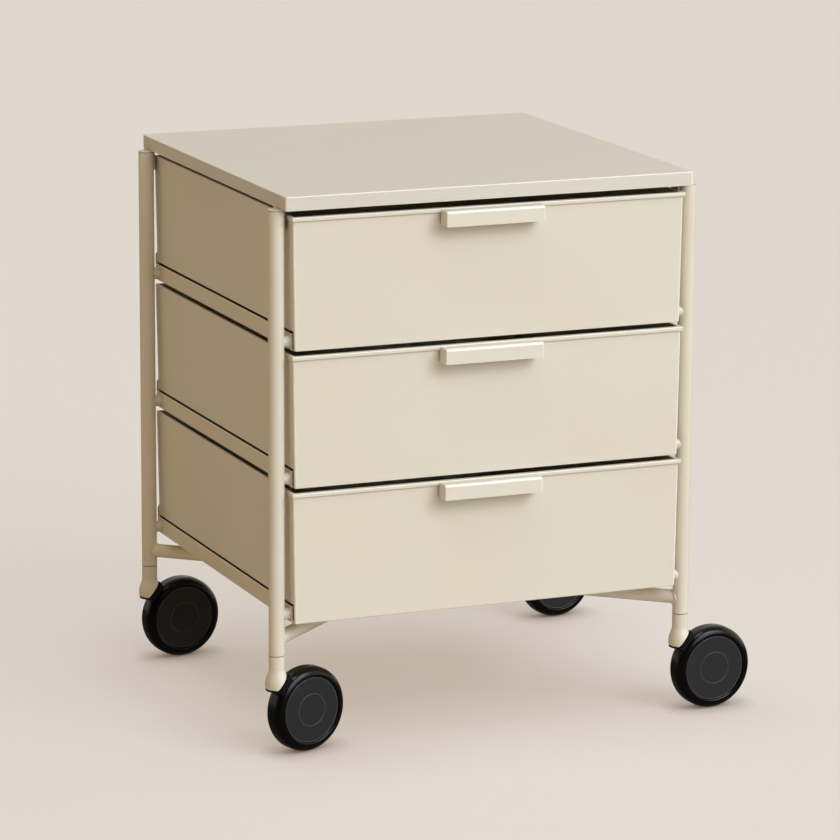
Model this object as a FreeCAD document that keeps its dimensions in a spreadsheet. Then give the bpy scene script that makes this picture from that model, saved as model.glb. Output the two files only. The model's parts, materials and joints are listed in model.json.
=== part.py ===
import FreeCAD, Part
import os
import re
import Sketcher

# Mobile drawer cabinet: a frame of four round posts with a crossed brace below, a lid, three drawers on
# channel rails, and four single-arm swivel castors. Millimetres, +Z up, -Y is the drawers' front.
# Everything is laid out from the middle of the frame at floor level, and moved at the end so that the
# origin is under the middle of the whole object's box.

DRIVING_SIZES = (
    ("overall_height", 635, "floor to the top of the lid"),
    ("lid_width", 490, "lid, side to side"),
    ("lid_depth", 475, "lid, front to back"),
    ("lid_thickness", 16, ""),
    ("lid_corner_radius", 3, "upright corners of the lid"),
    ("lid_edge_radius", 1.2, "top and bottom edges of the lid"),
    ("post_diameter", 18, ""),
    ("post_wall", 1.5, ""),
    ("post_stand_out", 3.5, "how far a post's axis stands out past the lid's side edge"),
    ("post_setback", 12.5, "from the lid's front or rear edge in to a post"),
    ("post_foot_height", 20, "top of the wheels up to the lower end of a post"),
    ("cap_plate", 2, "head of a post cap, between post and lid"),
    ("cap_groove", 0.8, "shadow groove under a cap's head, as high as it is deep"),
    ("cap_plug", 12, "plug of a post cap inside the tube"),
    ("bracket_steel", 2.5, "sheet of a lid bracket"),
    ("bracket_width", 18, "lid bracket along Y"),
    ("bracket_setback", 2, "post's axis back to a bracket"),
    ("bracket_drop", 24, "upright leaf of a lid bracket"),
    ("bracket_reach", 32, "level leaf of a lid bracket, inwards from the upright leaf"),
    ("lid_screw_diameter", 4, ""),
    ("lid_screw_reach", 10, "lid screw inside the lid"),
    ("lid_screw_head", 8, "diameter"),
    ("lid_screw_head_height", 2.2, ""),
    ("rim_drop", 7.7, "lid's underside to the top drawer's rim"),
    ("drawer_width", 470, "at the rim"),
    ("drawer_height", 149, "rim to bottom"),
    ("drawer_gap", 5.2, "bottom of a drawer to the next rim"),
    ("drawer_draft", 2.2, "how much each side leans in from rim to bottom"),
    ("drawer_front_setback", 5, "lid's front edge back to the drawer fronts"),
    ("drawer_rear_setback", 11.5, "lid's rear edge in to the back of the drawers"),
    ("drawer_wall", 3, ""),
    ("drawer_front_wall", 3.5, ""),
    ("drawer_floor", 3, ""),
    ("drawer_edge_radius", 2, "upright corners and lower edges"),
    ("drawer_floor_radius", 2.4, "inside, round the floor"),
    ("ledge_height", 3, "bottom of a drawer up to the ledge along its sides, past a rail's height"),
    ("rim_height", 4.4, "raised strip along the front's top edge"),
    ("rim_projection", 3, "how far that strip stands proud of the front"),
    ("rim_overhang", 1.5, "how far it passes the drawer's sides"),
    ("rim_return", 18, "how far it goes back along the drawer's sides"),
    ("rim_radius", 1.2, ""),
    ("handle_width", 118, ""),
    ("handle_offset", -2.5, "middle of a handle, from the drawer's middle"),
    ("handle_height", 17.6, ""),
    ("handle_projection", 20, ""),
    ("handle_wall", 2.6, ""),
    ("handle_drop", 1, "rim down to the handle's top"),
    ("handle_top_radius", 3, "front top edge"),
    ("handle_lip_radius", 1.2, "other outer edges"),
    ("handle_slot", 1.1, "slot between an end cheek and the front"),
    ("handle_boss_inset", 11, "end of the handle in to a screw boss"),
    ("handle_boss_diameter", 9, ""),
    ("handle_screw_diameter", 4, ""),
    ("handle_screw_reach", 9, "handle screw inside its boss"),
    ("handle_screw_head", 8, "diameter"),
    ("handle_screw_head_height", 2.4, ""),
    ("rail_height", 19, ""),
    ("rail_depth", 13, ""),
    ("rail_steel", 1.5, ""),
    ("rail_bend_radius", 1.2, "outer bends of the channel"),
    ("rail_inset", 1.5, "drawer's side in to the rail's outer face"),
    ("rail_front_gap", 6, "back of the drawer's front to the rail"),
    ("rail_edge_gap", 2, "open edge of a rail to the drawer's lower side"),
    ("ledge_gap", 3.2, "rail's top to the drawer's ledge"),
    ("stop_gap", 0.6, "drawer's back to the rail's stop"),
    ("stop_steel", 2, ""),
    ("stop_rise", 15, "stop above the rail's top"),
    ("stop_radius", 5, "upper corners of a stop"),
    ("slide_gap", 0.3, "play of what slides"),
    ("pad_length", 30, "nylon pad on a rail's front end"),
    ("runner_length", 90, "nylon runner inside a rail"),
    ("runner_radius", 1, ""),
    ("spacer_diameter", 13.4, "boss between post and rail"),
    ("rail_screw_diameter", 5, ""),
    ("rail_screw_head", 10, "diameter"),
    ("rail_screw_head_height", 2.8, ""),
    ("rail_screw_tail", 3, "screw past the post's wall, inside the tube"),
    ("screw_play", 0.2, "clearance hole round a screw, on the radius"),
    ("brace_diameter", 16, ""),
    ("brace_wall", 1.5, ""),
    ("brace_height", 18, "lower end of a post up to the brace tubes' axis"),
    ("wheel_diameter", 97, ""),
    ("wheel_width", 27, ""),
    ("tread_radius", 9.5, "rounded shoulders of the tyre"),
    ("tyre_seat_radius", 37.5, "hub inside the tyre"),
    ("tyre_lip_radius", 2.2, "inner edges of the tyre"),
    ("castor_trail", 8, "swivel axis to the wheel's axle, short of the wheel's radius"),
    ("rim_wall", 5.5, "rim of the hub"),
    ("web_thickness", 4, "web of the hub"),
    ("hub_near_face", 9.8, "hub rim's visible face, from the wheel's middle"),
    ("hub_far_face", 11.5, "hub rim's hidden face, from the wheel's middle"),
    ("hub_boss_diameter", 20, ""),
    ("hub_boss_near", 7.2, "boss on the visible side, from the wheel's middle"),
    ("cover_radius", 36.5, "disc that covers the hub"),
    ("cover_plate", 2, ""),
    ("cover_skirt", 5, "skirt of the cover inside the hub's rim"),
    ("cover_groove_radius", 18.5, "ring groove round the middle of the cover"),
    ("cover_groove_width", 0.8, ""),
    ("cover_groove_depth", 0.6, ""),
    ("cover_edge_radius", 0.7, ""),
    ("axle_diameter", 8, ""),
    ("axle_head", 12, "diameter"),
    ("axle_head_height", 2, ""),
    ("rivet_diameter", 11, "axle's riveted end outside the arm"),
    ("rivet_height", 1.6, ""),
    ("running_gap", 0.05, "running fit, on the radius"),
    ("side_play", 0.3, "end play of a turning fit"),
    ("guard_gap", 1.1, "tread to the guard"),
    ("guard_thickness", 4.6, "guard over the tread"),
    ("guard_chamfer", 1.2, "near edge of the guard"),
    ("guard_overhang", 0.8, "guard past the shoe at the side"),
    ("guard_low_angle", 30.5, "lower end of the guard, above the axle's level"),
    ("guard_high_angle", 54, "upper end of the guard"),
    ("arm_low_angle", 40, "lower end of the guard where it turns down into the arm"),
    ("guard_rib_half_width", 9, "rib of the guard inside the shoe"),
    ("guard_rib_high_angle", 57, "upper end of that rib"),
    ("guard_flange", 1.8, "plate of the guard under the shoe"),
    ("guard_flange_inset", 0.6, "shoe's outline in to that plate"),
    ("arm_gap", 0.7, "tyre's side to the arm"),
    ("arm_thickness", 4, ""),
    ("arm_boss_diameter", 24, ""),
    ("shoe_gap", 2, "guard to the shoe's edge over the wheel"),
    ("shoe_half_width", 14, "shoe over the wheel"),
    ("shoe_slimness", 1.4, "how much less the shoe reaches along the wheel than across it"),
    ("shoe_bottom", 39, "lower end of a post down to the shoe's lower end"),
    ("shoe_flare", 24, "lower end of the shoe up to where the neck begins to widen"),
    ("shoe_bottom_radius", 2.4, ""),
    ("neck_gap", 0.8, "post's end to the shoe's neck"),
    ("stem_diameter", 10, "shoulder on which the castor turns"),
    ("stem_collar", 14, "diameter"),
    ("stem_collar_height", 0.5, ""),
    ("stem_thread", 8, "diameter"),
    ("stem_thread_length", 22, ""),
    ("stem_head", 13, "diameter"),
    ("stem_head_height", 3, ""),
    ("stem_head_bottom", 20, "lower end of a post down to the underside of the stem's head"),
    ("socket_length", 28, "threaded plug in a post's lower end"),
    ("yaw_front_left", 17.5, "castors as they stand, turned about the vertical, in degrees"),
    ("yaw_front_right", 4.5, ""),
    ("yaw_rear_left", 7.5, ""),
    ("yaw_rear_right", 9, ""),
)

doc = FreeCAD.newDocument("drawer_cabinet")
sheet = doc.addObject("Spreadsheet::Sheet", "sizes")
for line, (alias, amount, meaning) in enumerate(DRIVING_SIZES, 1):
    sheet.set(f"A{line}", alias)
    sheet.set(f"B{line}", str(amount))
    sheet.set(f"C{line}", meaning)
    sheet.setAlias(f"B{line}", alias)
doc.recompute()

SIZE_NAMES = {alias for alias, _, _ in DRIVING_SIZES}
pieces = []


# Formulas

def bound(formula):
    """A formula in plain size names, with each name pointed at its cell."""
    return re.sub(r"[a-z_]+", lambda m: f"sizes.{m[0]}" if m[0] in SIZE_NAMES else m[0], str(formula))


def value(formula):
    return float(sheet.evalExpression(bound(formula)))


def minus(formula):
    return f"-({formula})"


def signed(side, formula):
    return f"{side} * ({formula})"


# Places that several pieces share

LID_UNDERSIDE = "(overall_height - lid_thickness)"
POST_X = "(lid_width / 2 + post_stand_out)"
POST_Y = "(lid_depth / 2 - post_setback - post_diameter / 2)"
POST_TOP = f"({LID_UNDERSIDE} - cap_plate)"
POST_RADIUS = "(post_diameter / 2)"
POST_BORE = "(post_diameter / 2 - post_wall)"
PITCH = "(drawer_height + drawer_gap)"
FRONT_Y = "(-lid_depth / 2 + drawer_front_setback)"
REAR_Y = "(lid_depth / 2 - drawer_rear_setback)"
INNER_FRONT_Y = f"({FRONT_Y} + drawer_front_wall)"
HANDLE_LEFT = "(handle_offset - handle_width / 2)"
HANDLE_RIGHT = "(handle_offset + handle_width / 2)"
RAIL_X = "(drawer_width / 2 - rail_inset)"
RAIL_EDGE_X = f"({RAIL_X} - rail_depth)"
RAIL_WEB_X = f"({RAIL_X} - rail_steel)"
RAIL_FRONT_Y = f"({INNER_FRONT_Y} + rail_front_gap)"
RAIL_REAR_Y = f"({REAR_Y} + stop_gap)"
LOWER_SIDE_X = f"({RAIL_EDGE_X} - rail_edge_gap)"
STEP_HEIGHT = "(rail_height + ledge_height)"
RUNNER_REAR_Y = f"({POST_Y} - rail_screw_head / 2 - stop_gap)"
WHEEL_RADIUS = "(wheel_diameter / 2)"
TRAIL = f"({WHEEL_RADIUS} - castor_trail)"
POST_FOOT = "(wheel_diameter + post_foot_height)"
BRACE_Z = f"({POST_FOOT} + brace_height)"
SHOE_TOP = f"({POST_FOOT} - neck_gap)"
SHOE_BOTTOM = f"({POST_FOOT} - shoe_bottom)"
STEM_HEAD_BOTTOM = f"({POST_FOOT} - stem_head_bottom)"
STEM_HEAD_TOP = f"({STEM_HEAD_BOTTOM} + stem_head_height)"
GUARD_INSIDE = f"({WHEEL_RADIUS} + guard_gap)"
GUARD_OUTSIDE = f"({GUARD_INSIDE} + guard_thickness)"
SHOE_INSIDE = f"({GUARD_OUTSIDE} + shoe_gap)"
ARM_NEAR_Y = "(wheel_width / 2 + arm_gap)"
ARM_FAR_Y = f"({ARM_NEAR_Y} + arm_thickness)"

LEVELS = ("top", "middle", "bottom")
SIDES = (("left", -1), ("right", 1))
CORNERS = (
    ("front_left", -1, -1),
    ("front_right", 1, -1),
    ("rear_left", -1, 1),
    ("rear_right", 1, 1),
)


def rim_z(level):
    return f"({LID_UNDERSIDE} - rim_drop - {level} * {PITCH})"


def bottom_z(level):
    return f"({rim_z(level)} - drawer_height)"


def ledge_z(level):
    return f"({bottom_z(level)} + {STEP_HEIGHT})"


def rail_top_z(level):
    return f"({ledge_z(level)} - ledge_gap)"


def rail_mid_z(level):
    return f"({rail_top_z(level)} - rail_height / 2)"


def handle_top_z(level):
    return f"({rim_z(level)} - handle_drop)"


# Solids and booleans

def bind(thing, formulas):
    for setting, formula in formulas.items():
        thing.setExpression(setting, bound(formula))
    return thing


def place(thing, x=0, y=0, z=0):
    return bind(thing, {"Placement.Base.x": x, "Placement.Base.y": y, "Placement.Base.z": z})


def turn(thing, axis, angle):
    thing.Placement.Rotation = FreeCAD.Rotation(FreeCAD.Vector(*axis), 0)
    return bind(thing, {"Placement.Rotation.Angle": angle})


def block(name, low, high):
    """A box from its lowest to its highest corner."""
    made = doc.addObject("Part::Box", name)
    for setting, start, end in zip(("Length", "Width", "Height"), low, high):
        bind(made, {setting: f"({end}) - ({start})"})
    return place(made, *low)


def rod(name, radius, start, length, along="z"):
    """A cylinder from the point start, along +X, +Y or +Z."""
    made = doc.addObject("Part::Cylinder", name)
    bind(made, {"Radius": radius, "Height": length})
    if along == "x":
        turn(made, (0, 1, 0), 90)
    if along == "y":
        turn(made, (1, 0, 0), -90)
    return place(made, *start)


def cut(name, base, *tools):
    made = doc.addObject("Part::Cut", name)
    made.Base = base
    made.Tool = tools[0] if len(tools) == 1 else join(name + "_tools", *tools)
    return made


def join(name, *parts):
    made = doc.addObject("Part::MultiFuse", name)
    made.Shapes = list(parts)
    return made


def group(name, parts):
    """Separate solids of the same kind, kept as one sub-part."""
    made = doc.addObject("Part::Compound", name)
    made.Links = list(parts)
    return made


def soften(name, base, radius, wanted):
    """Rounds the edges of base that wanted picks out."""
    doc.recompute()
    made = doc.addObject("Part::Fillet", name)
    made.Base = base
    size = value(radius)
    made.Edges = [(i, size, size) for i, edge in enumerate(base.Shape.Edges, 1) if wanted(edge)]
    return made


def keep(thing, name):
    """Registers a finished sub-part under the name of its file."""
    thing.Label = name
    pieces.append(thing)
    return thing


# Bodies made from sketches

def origin_plane(body, role):
    return next(feature for feature in body.Origin.OriginFeatures if feature.Role == role)


def sketch(body, role, name, offset):
    made = body.newObject("Sketcher::SketchObject", name)
    made.AttachmentSupport = [(origin_plane(body, role), "")]
    made.MapMode = "FlatFace"
    bind(made, {"AttachmentOffset.Base.z": offset})
    return made


def fix_point(drawn, shape, point, x, y):
    """Holds one point of a sketched line or circle at its formulas."""
    for kind, formula in (("DistanceX", x), ("DistanceY", y)):
        rule = drawn.addConstraint(Sketcher.Constraint(kind, -1, 1, shape, point, value(formula)))
        bind(drawn, {f"Constraints[{rule}]": formula})


def outline(body, role, name, offset, loops):
    """A sketch of closed straight-sided loops, each corner a pair of formulas."""
    drawn = sketch(body, role, name, offset)
    first = 0
    for corners in loops:
        count = len(corners)
        spots = [FreeCAD.Vector(value(x), value(y), 0) for x, y in corners]
        for i in range(count):
            drawn.addGeometry(Part.LineSegment(spots[i], spots[(i + 1) % count]), False)
        for i in range(count):
            following = first + (i + 1) % count
            drawn.addConstraint(Sketcher.Constraint("Coincident", first + i, 2, following, 1))
        for i, (x, y) in enumerate(corners):
            fix_point(drawn, first + i, 1, x, y)
        first += count
    return drawn


def circles(body, role, name, offset, radius, centres):
    drawn = sketch(body, role, name, offset)
    for i, (x, y) in enumerate(centres):
        spot = FreeCAD.Vector(value(x), value(y), 0)
        drawn.addGeometry(Part.Circle(spot, FreeCAD.Vector(0, 0, 1), value(radius)), False)
        fix_point(drawn, i, 3, x, y)
        rule = drawn.addConstraint(Sketcher.Constraint("Radius", i, value(radius)))
        bind(drawn, {f"Constraints[{rule}]": radius})
    return drawn


def rectangle(x0, y0, x1, y1):
    return [(x0, y0), (x1, y0), (x1, y1), (x0, y1)]


def extrude(body, kind, drawn, length, back=False, middle=False):
    """A Pad or Pocket of a sketch: along the sketch's normal, against it, or both ways."""
    made = body.newObject("PartDesign::" + kind, drawn.Name + "_" + kind.lower())
    made.Profile = drawn
    made.Reversed = back
    made.Midplane = middle
    bind(made, {"Length": length})
    drawn.Visibility = False
    return made


def loft(body, kind, drawn, following):
    made = body.newObject("PartDesign::" + kind, drawn.Name + "_loft")
    made.Profile = drawn
    made.Sections = [(following, [""])]
    made.Ruled = True
    return made


def round_edges(body, name, radius, wanted):
    """Rounds the edges of the body so far that wanted picks out."""
    doc.recompute()
    base = body.Tip
    names = [f"Edge{i}" for i, edge in enumerate(base.Shape.Edges, 1) if wanted(edge)]
    made = body.newObject("PartDesign::Fillet", name)
    made.Base = (base, names)
    bind(made, {"Radius": radius})
    return made


def size_of(edge):
    box = edge.BoundBox
    return box.XLength, box.YLength, box.ZLength


def upright(edge):
    x, y, z = size_of(edge)
    return z > 1 and x < z / 10 and y < z / 10


def level_at(edge, z):
    box = edge.BoundBox
    return abs(box.ZMin - z) < 0.01 and abs(box.ZMax - z) < 0.01


# Frame

def make_post(corner, side, end):
    x, y = signed(side, POST_X), signed(end, POST_Y)
    name = "post_" + corner
    foot = (x, y, POST_FOOT)
    tube = rod(name + "_outside", POST_RADIUS, foot, f"{POST_TOP} - {POST_FOOT}")
    bore = rod(name + "_bore", POST_BORE, foot, f"{POST_TOP} - {POST_FOOT}")
    inner_side = x if side < 0 else f"{x} - post_diameter / 2"
    holes = [
        rod(f"{name}_hole_{level}", "rail_screw_diameter / 2",
            (inner_side, y, rail_mid_z(i)), "post_diameter / 2", "x")
        for i, level in enumerate(LEVELS)
    ]
    return keep(cut(name, tube, bore, *holes), name)


def make_post_caps():
    caps = []
    for corner, side, end in CORNERS:
        x, y = signed(side, POST_X), signed(end, POST_Y)
        plate = rod("cap_plate_" + corner, POST_RADIUS, (x, y, f"{POST_TOP} + cap_groove"),
                    "cap_plate - cap_groove")
        neck = rod("cap_neck_" + corner, f"{POST_RADIUS} - cap_groove", (x, y, POST_TOP), "cap_plate")
        plug = rod("cap_plug_" + corner, POST_BORE, (x, y, f"{POST_TOP} - cap_plug"), "cap_plug")
        caps.append(join("cap_" + corner, plate, neck, plug))
    return keep(group("post_caps", caps), "post_caps")


LEAF_X = "(drawer_width / 2 + rim_overhang + slide_gap)"
LID_SCREW_X = f"({LEAF_X} - bracket_reach / 2)"


def lid_screw_y(end):
    return f"({signed(end, POST_Y)} + bracket_setback + bracket_width / 2)"


def make_lid():
    body = doc.addObject("PartDesign::Body", "lid_body")
    half_x, half_y = "lid_width / 2", "lid_depth / 2"
    board = outline(body, "XY_Plane", "lid_outline", LID_UNDERSIDE,
                    [rectangle(minus(half_x), minus(half_y), half_x, half_y)])
    extrude(body, "Pad", board, "lid_thickness")
    round_edges(body, "lid_corners", "lid_corner_radius", upright)
    top, under = value("overall_height"), value(LID_UNDERSIDE)
    round_edges(body, "lid_edges", "lid_edge_radius",
                lambda edge: level_at(edge, top) or level_at(edge, under))
    centres = [(signed(side, LID_SCREW_X), lid_screw_y(end)) for _, side, end in CORNERS]
    holes = circles(body, "XY_Plane", "lid_holes", LID_UNDERSIDE, "lid_screw_diameter / 2", centres)
    extrude(body, "Pocket", holes, "lid_screw_reach + 1", back=True)
    return keep(body, "lid")


def make_lid_brackets():
    """Folded angles behind the posts: an upright leaf welded to the post, a level leaf under the lid."""
    brackets = []
    for corner, side, end in CORNERS:
        name = "bracket_" + corner
        y0 = f"{signed(end, POST_Y)} + bracket_setback"
        y1 = f"{y0} + bracket_width"
        inner, outer = LEAF_X, f"({POST_X} - post_diameter / 4)"
        reach = f"({LEAF_X} - bracket_reach)"
        xs = (inner, outer) if side > 0 else (minus(outer), minus(inner))
        upright_leaf = block(name + "_upright", (xs[0], y0, f"{LID_UNDERSIDE} - bracket_drop"),
                             (xs[1], y1, LID_UNDERSIDE))
        xs = (reach, outer) if side > 0 else (minus(outer), minus(reach))
        level_leaf = block(name + "_level", (xs[0], y0, f"{LID_UNDERSIDE} - bracket_steel"),
                           (xs[1], y1, LID_UNDERSIDE))
        x, y = signed(side, POST_X), signed(end, POST_Y)
        cope = rod(name + "_cope", POST_RADIUS, (x, y, f"{LID_UNDERSIDE} - 2 * bracket_drop"),
                   "3 * bracket_drop")
        hole = rod(name + "_hole", "lid_screw_diameter / 2 + screw_play",
                   (signed(side, LID_SCREW_X), lid_screw_y(end), f"{LID_UNDERSIDE} - 2 * bracket_steel"),
                   "3 * bracket_steel")
        brackets.append(cut(name, join(name + "_leaves", upright_leaf, level_leaf), cope, hole))
    return keep(group("lid_brackets", brackets), "lid_brackets")


def make_lid_screws():
    screws = []
    for corner, side, end in CORNERS:
        x, y = signed(side, LID_SCREW_X), lid_screw_y(end)
        seat = f"({LID_UNDERSIDE} - bracket_steel)"
        head = rod("lid_screw_head_" + corner, "lid_screw_head / 2",
                   (x, y, f"{seat} - lid_screw_head_height"), "lid_screw_head_height")
        shank = rod("lid_screw_shank_" + corner, "lid_screw_diameter / 2", (x, y, seat),
                    "bracket_steel + lid_screw_reach")
        screws.append(join("lid_screw_" + corner, head, shank))
    return keep(group("lid_screws", screws), "lid_screws")


def make_brace():
    """Two crossed tubes: one goes right through, the other is two halves butted against it."""
    reach = f"sqrt({POST_X} ^ 2 + {POST_Y} ^ 2)"
    angle = f"atan({POST_Y} / {POST_X})"

    def tube(name, start_angle, length):
        pipe = []
        for part, radius in (("outside", "brace_diameter / 2"), ("bore", "brace_diameter / 2 - brace_wall")):
            made = doc.addObject("Part::Cylinder", f"{name}_{part}")
            bind(made, {"Radius": radius, "Height": length})
            made.Placement = FreeCAD.Placement(FreeCAD.Vector(), FreeCAD.Rotation(0, 90, 0))
            pipe.append(made)
        hollow = cut(name + "_pipe", *pipe)
        turned = doc.addObject("Part::Compound", name + "_turned")
        turned.Links = [hollow]
        turn(turned, (0, 0, 1), start_angle)
        return turned

    def post_copes(name, corners):
        return [
            rod(f"{name}_cope_{corner}", POST_RADIUS,
                (signed(side, POST_X), signed(end, POST_Y), f"{BRACE_Z} - 2 * brace_diameter"),
                "4 * brace_diameter")
            for corner, side, end in CORNERS if corner in corners
        ]

    long_tube = tube("brace_long", angle, f"2 * {reach}")
    place(long_tube, minus(POST_X), minus(POST_Y), BRACE_Z)
    keep(cut("brace_tube_long", long_tube, *post_copes("brace_long", ("front_left", "rear_right"))),
         "brace_tube_long")
    for corner, name, start_angle in (
        ("front_right", "brace_tube_front_right", minus(angle)),
        ("rear_left", "brace_tube_rear_left", f"180 deg - {angle}"),
    ):
        half = tube(name, start_angle, reach)
        place(half, 0, 0, BRACE_Z)
        crossing = doc.addObject("Part::Cylinder", name + "_crossing")
        bind(crossing, {"Radius": "brace_diameter / 2", "Height": "6 * brace_diameter"})
        crossing.Placement = FreeCAD.Placement(
            FreeCAD.Vector(-3 * value("brace_diameter"), 0, 0), FreeCAD.Rotation(0, 90, 0))
        through = doc.addObject("Part::Compound", name + "_through")
        through.Links = [crossing]
        turn(through, (0, 0, 1), angle)
        place(through, 0, 0, BRACE_Z)
        keep(cut(name, half, through, *post_copes(name, (corner,))), name)


# Rails and what holds them

def make_rail(level, level_name, side, side_name):
    """A steel channel, open towards the drawer, with a stop folded up at its rear end."""
    name = f"rail_{side_name}_{level_name}"
    body = doc.addObject("PartDesign::Body", name + "_body")
    top = rail_top_z(level)
    low = f"({top} - rail_height)"
    outer, edge = signed(side, RAIL_X), signed(side, RAIL_EDGE_X)
    web = signed(side, RAIL_WEB_X)
    channel = outline(body, "XZ_Plane", name + "_section", minus(RAIL_FRONT_Y), [[
        (outer, low), (edge, low), (edge, f"{low} + rail_steel"), (web, f"{low} + rail_steel"),
        (web, f"{top} - rail_steel"), (edge, f"{top} - rail_steel"), (edge, top), (outer, top),
    ]])
    extrude(body, "Pad", channel, f"{RAIL_REAR_Y} - {RAIL_FRONT_Y}", back=True)
    bend_x, lows = abs(value(RAIL_X)), (value(low), value(top))
    round_edges(body, name + "_bends", "rail_bend_radius",
                lambda e: size_of(e)[1] > 50 and abs(abs(e.BoundBox.XMin) - bend_x) < 0.01
                and min(abs(e.BoundBox.ZMin - z) for z in lows) < 0.01)
    stop = outline(body, "XZ_Plane", name + "_stop", minus(RAIL_REAR_Y),
                   [rectangle(outer, low, edge, f"{top} + stop_rise")])
    extrude(body, "Pad", stop, "stop_steel", back=True)
    stop_top = value(f"{top} + stop_rise")
    round_edges(body, name + "_stop_corners", "stop_radius",
                lambda e: level_at(e, stop_top) and size_of(e)[0] < 0.01)
    holes = circles(body, "YZ_Plane", name + "_holes", 0, "rail_screw_diameter / 2 + screw_play",
                    [(minus(POST_Y), rail_mid_z(level)), (POST_Y, rail_mid_z(level))])
    extrude(body, "Pocket", holes, f"2 * {RAIL_X} + 10", middle=True)
    return keep(body, name)


def make_spacers_and_screws():
    spacers, screws = [], []
    for corner, side, end in CORNERS:
        y = signed(end, POST_Y)
        for i, level in enumerate(LEVELS):
            z = rail_mid_z(i)
            face = RAIL_X if side > 0 else minus(POST_X)
            boss = rod(f"spacer_body_{corner}_{level}", "spacer_diameter / 2", (face, y, z),
                       f"{POST_X} - {RAIL_X}", "x")
            post = rod(f"spacer_cope_{corner}_{level}", POST_RADIUS,
                       (signed(side, POST_X), y, f"{z} - spacer_diameter"), "2 * spacer_diameter")
            hole = rod(f"spacer_hole_{corner}_{level}", "rail_screw_diameter / 2 + screw_play",
                       (face, y, z), f"{POST_X} - {RAIL_X}", "x")
            spacers.append(cut(f"spacer_{corner}_{level}", boss, post, hole))
            tip = f"({POST_X} - post_diameter / 2 + post_wall + rail_screw_tail)"
            start = RAIL_WEB_X if side > 0 else minus(tip)
            shank = rod(f"rail_screw_shank_{corner}_{level}", "rail_screw_diameter / 2",
                        (start, y, z), f"{tip} - {RAIL_WEB_X}", "x")
            head_x = f"{RAIL_WEB_X} - rail_screw_head_height" if side > 0 else minus(RAIL_WEB_X)
            head = rod(f"rail_screw_head_{corner}_{level}", "rail_screw_head / 2",
                       (head_x, y, z), "rail_screw_head_height", "x")
            screws.append(join(f"rail_screw_{corner}_{level}", head, shank))
    keep(group("rail_spacers", spacers), "rail_spacers")
    keep(group("rail_screws", screws), "rail_screws")


def make_front_pads():
    pads = []
    for i, level in enumerate(LEVELS):
        for side_name, side in SIDES:
            xs = [signed(side, RAIL_X), signed(side, RAIL_EDGE_X)]
            if side > 0:
                xs.reverse()
            start = f"{RAIL_FRONT_Y} + rail_bend_radius"
            pads.append(block(f"pad_{side_name}_{level}", (xs[0], start, rail_top_z(i)),
                              (xs[1], f"{start} + pad_length", f"{ledge_z(i)} - slide_gap")))
    return keep(group("front_pads", pads), "front_pads")


# Drawers

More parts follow.
